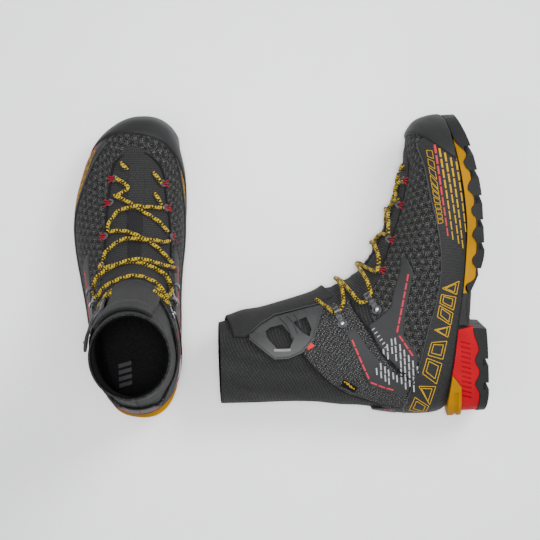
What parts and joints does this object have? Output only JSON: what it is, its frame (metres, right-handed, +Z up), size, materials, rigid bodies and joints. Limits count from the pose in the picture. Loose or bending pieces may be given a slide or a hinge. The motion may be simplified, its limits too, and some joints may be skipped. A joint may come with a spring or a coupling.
{
  "type": "pair of mountaineering boots",
  "caption": "Pair of insulated mountaineering boots with built-in gaiter socks, lugged soles, laces and a side-closing flap; one stands and one lies on its side.",
  "frame": {"origin": "bottom centre of the pair's bounding box, on the ground", "axes": "+X across the pair from the standing left boot to the lying right boot, +Y towards both toes, +Z up"},
  "size_m": [0.4143, 0.3038, 0.2644],
  "materials": {
    "tread_rubber": "matt moulded rubber lugs",
    "midsole_foam": "yellow moulded foam, satin",
    "shank_plastic": "dark grey moulded plastic",
    "heel_foam": "red moulded foam, ribbed",
    "clip_plastic": "ochre moulded plastic",
    "board_fibre": "pressed fibre board",
    "footbed_felt": "dark needled felt",
    "toe_rubber": "matt dark grey rubber",
    "rand_film": "smooth dark textured film",
    "upper_knit": "charcoal jacquard knit with a raised dot pattern",
    "lining_fleece": "black brushed fleece",
    "overlay_film": "welded dark grey film",
    "tongue_fabric": "black padded stretch fabric",
    "webbing_black": "black ladder webbing",
    "webbing_red": "red stitched webbing",
    "hook_metal": "dark grey painted steel with a bright rivet",
    "lace_cord": "gold braided cord with black flecks",
    "sock_fabric": "charcoal stretch weave",
    "flap_fabric": "black woven stretch fabric",
    "tab_rubber": "dark grey moulded rubber, satin"
  },
  "bodies": {
    "left_foot": {"left_outsole_forefoot": "tread_rubber", "left_outsole_heel": "tread_rubber", "left_midsole": "midsole_foam", "left_arch_shank": "shank_plastic", "left_heel_block": "heel_foam", "left_heel_clip": "clip_plastic", "left_lasting_board": "board_fibre", "left_footbed": "footbed_felt", "left_toe_cap": "toe_rubber", "left_rand_panels": "rand_film", "left_vamp": "upper_knit", "left_quarters": "upper_knit", "left_foot_lining": "lining_fleece", "left_toe_puff": "board_fibre", "left_heel_counter": "board_fibre", "left_lower_overlays": "overlay_film", "left_tongue": "tongue_fabric", "left_tongue_keeper": "webbing_black", "left_lace_loops": "webbing_red", "left_lower_hooks": "hook_metal", "left_lace_lower": "lace_cord"},
    "left_cuff": {"left_cuff_wings": "upper_knit", "left_cuff_overlays": "overlay_film", "left_gaiter_sock": "sock_fabric", "left_cuff_lining": "lining_fleece", "left_upper_tongue": "tongue_fabric", "left_upper_hooks": "hook_metal", "left_lace_upper": "lace_cord"},
    "left_flap": {"left_gaiter_flap": "flap_fabric", "left_pull_tab": "tab_rubber"},
    "right_foot": {"right_outsole_forefoot": "tread_rubber", "right_outsole_heel": "tread_rubber", "right_midsole": "midsole_foam", "right_arch_shank": "shank_plastic", "right_heel_block": "heel_foam", "right_heel_clip": "clip_plastic", "right_lasting_board": "board_fibre", "right_footbed": "footbed_felt", "right_toe_cap": "toe_rubber", "right_rand_panels": "rand_film", "right_vamp": "upper_knit", "right_quarters": "upper_knit", "right_foot_lining": "lining_fleece", "right_toe_puff": "board_fibre", "right_heel_counter": "board_fibre", "right_lower_overlays": "overlay_film", "right_tongue": "tongue_fabric", "right_tongue_keeper": "webbing_black", "right_lace_loops": "webbing_red", "right_lower_hooks": "hook_metal", "right_lace_lower": "lace_cord"},
    "right_cuff": {"right_cuff_wings": "upper_knit", "right_cuff_overlays": "overlay_film", "right_gaiter_sock": "sock_fabric", "right_cuff_lining": "lining_fleece", "right_upper_tongue": "tongue_fabric", "right_upper_hooks": "hook_metal", "right_lace_upper": "lace_cord"},
    "right_flap": {"right_gaiter_flap": "flap_fabric", "right_pull_tab": "tab_rubber"}
  },
  "joints": [
    {"name": "right_boot_slide", "type": "slide", "parent": "left_foot", "child": "right_foot", "axis": [1, 0, 0], "range_m": [0, 0.15]},
    {"name": "left_ankle_flex", "type": "hinge", "parent": "left_foot", "child": "left_cuff", "pos_m": [-0.1404, -0.09293, 0.0896], "axis": [-0.9986, -0.0523, 0], "range_deg": [-5, 12], "stiffness_Nm_per_rad": 12},
    {"name": "left_flap_open", "type": "hinge", "parent": "left_cuff", "child": "left_flap", "pos_m": [-0.11701, -0.03783, 0.20573], "axis": [0.0388, 0.1601, -0.9863], "range_deg": [0, 100]},
    {"name": "right_ankle_flex", "type": "hinge", "parent": "right_foot", "child": "right_cuff", "pos_m": [0.11428, -0.09424, 0.04264], "axis": [-0.0475, 0.093, -0.9945], "range_deg": [-5, 12], "stiffness_Nm_per_rad": 12},
    {"name": "right_flap_open", "type": "hinge", "parent": "right_cuff", "child": "right_flap", "pos_m": [-0.00575, -0.04521, 0.02656], "axis": [-0.9728, -0.2197, 0.0733], "range_deg": [0, 100]}
  ]
}
